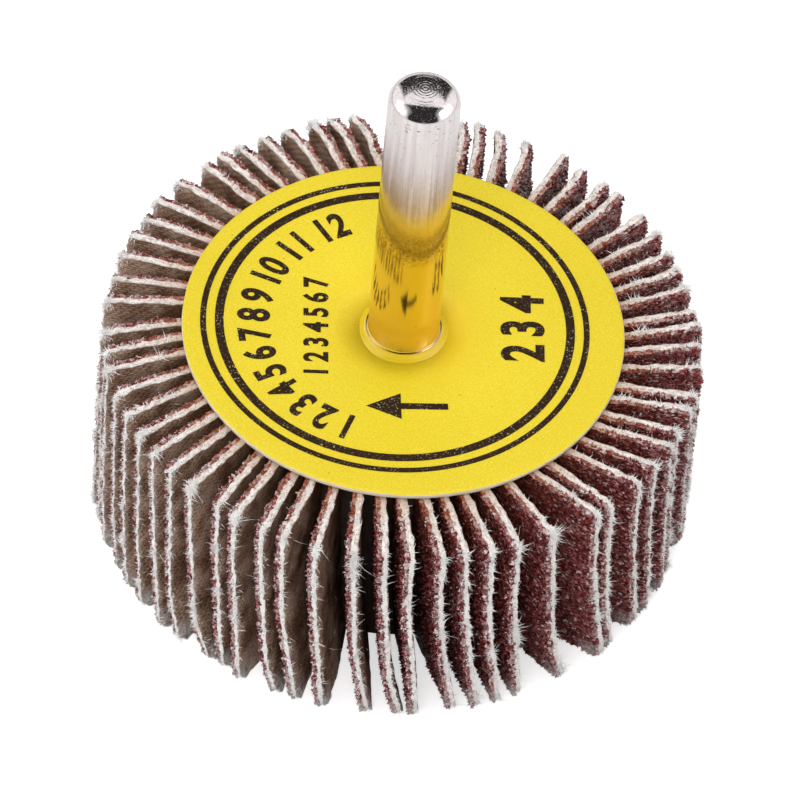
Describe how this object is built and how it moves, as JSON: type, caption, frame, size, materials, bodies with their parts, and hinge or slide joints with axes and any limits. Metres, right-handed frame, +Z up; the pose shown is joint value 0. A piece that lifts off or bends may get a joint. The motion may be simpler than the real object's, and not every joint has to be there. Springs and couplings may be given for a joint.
{
  "type": "flap wheel",
  "caption": "Grinding wheel of leaning abrasive cloth flaps in a cast resin core with a printed label, on a plain round steel shank.",
  "frame": {"origin": "on the shank's axis, level with the lower edges of the flaps that the wheel stands on", "axes": "+Z runs up the shank; the printed arrow lies on the -Y side of the shank and points towards -X"},
  "size_m": [0.05, 0.05, 0.0498],
  "materials": {
    "abrasive_cloth": "coarse red-brown grain on a grey-brown twill with frayed pale edges",
    "steel": "drawn and ground, dull, with dark stains",
    "resin": "cast, brown",
    "label_card": "yellow, satin lacquer",
    "clear_resin": "clear, glossy",
    "ink": "dark brown print"
  },
  "bodies": {
    "root": {"flap_pair_01": "abrasive_cloth", "flap_pair_02": "abrasive_cloth", "flap_pair_03": "abrasive_cloth", "flap_pair_04": "abrasive_cloth", "flap_pair_05": "abrasive_cloth", "flap_pair_06": "abrasive_cloth", "flap_pair_07": "abrasive_cloth", "flap_pair_08": "abrasive_cloth", "flap_pair_09": "abrasive_cloth", "flap_pair_10": "abrasive_cloth", "flap_pair_11": "abrasive_cloth", "flap_pair_12": "abrasive_cloth", "flap_pair_13": "abrasive_cloth", "flap_pair_14": "abrasive_cloth", "flap_pair_15": "abrasive_cloth", "flap_pair_16": "abrasive_cloth", "flap_pair_17": "abrasive_cloth", "flap_pair_18": "abrasive_cloth", "flap_pair_19": "abrasive_cloth", "flap_pair_20": "abrasive_cloth", "flap_pair_21": "abrasive_cloth", "flap_pair_22": "abrasive_cloth", "flap_pair_23": "abrasive_cloth", "flap_pair_24": "abrasive_cloth", "flap_pair_25": "abrasive_cloth", "flap_pair_26": "abrasive_cloth", "flap_pair_27": "abrasive_cloth", "flap_pair_28": "abrasive_cloth", "flap_pair_29": "abrasive_cloth", "flap_pair_30": "abrasive_cloth", "flap_pair_31": "abrasive_cloth", "flap_pair_32": "abrasive_cloth", "spindle": "steel", "core": "resin", "label": "label_card", "resin_bead": "clear_resin", "printed_ring_thin": "ink", "printed_ring_thick": "ink", "printed_arrow": "ink"}
  },
  "joints": []
}
